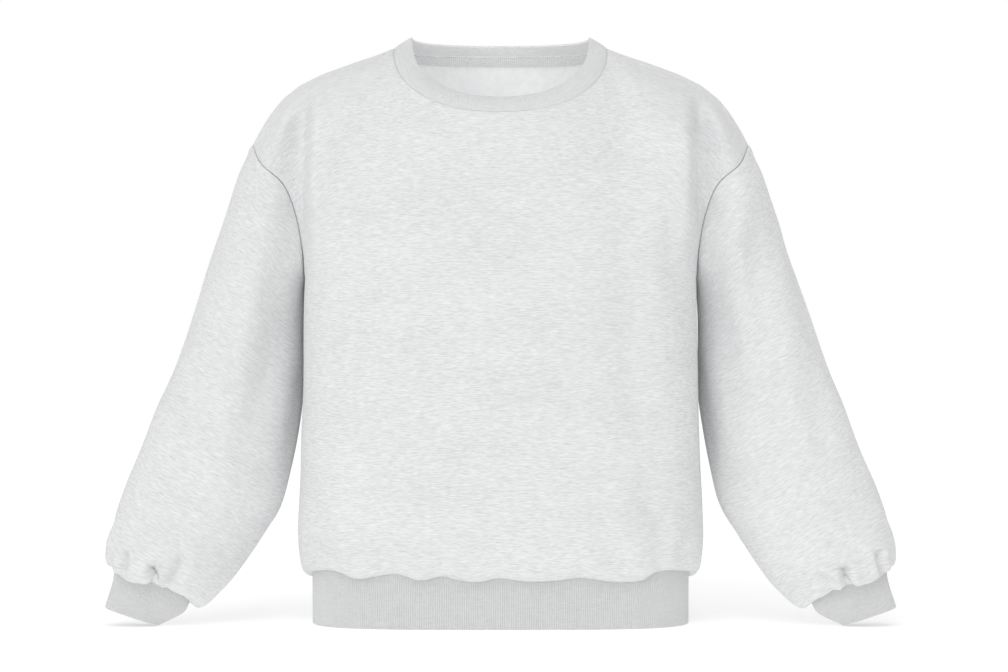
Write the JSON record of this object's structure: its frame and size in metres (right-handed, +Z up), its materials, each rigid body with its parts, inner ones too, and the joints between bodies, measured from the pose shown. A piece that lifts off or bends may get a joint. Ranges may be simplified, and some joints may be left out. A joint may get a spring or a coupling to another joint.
{
  "type": "crewneck sweatshirt",
  "caption": "Boxy drop-shouldered crewneck sweatshirt, filled out and hollow, with ribbed collar, cuffs and hem band.",
  "frame": {"origin": "on the surface that the hem band stands on, in the middle of the garment's box", "axes": "+Z up, -Y out of the front of the garment, +X towards the wearer's left sleeve"},
  "size_m": [0.9104, 0.2576, 0.684],
  "materials": {
    "fleece": "brushed fleece, light ash heather, matt with a soft nap",
    "rib": "1x1 rib knit, light grey heather, matt"
  },
  "bodies": {
    "root": {"front_panel": "fleece", "back_panel": "fleece", "sleeve_left": "fleece", "sleeve_right": "fleece", "neck_tape": "fleece", "neck_band": "rib", "cuff_left": "rib", "cuff_right": "rib", "hem_band": "rib"}
  },
  "joints": []
}
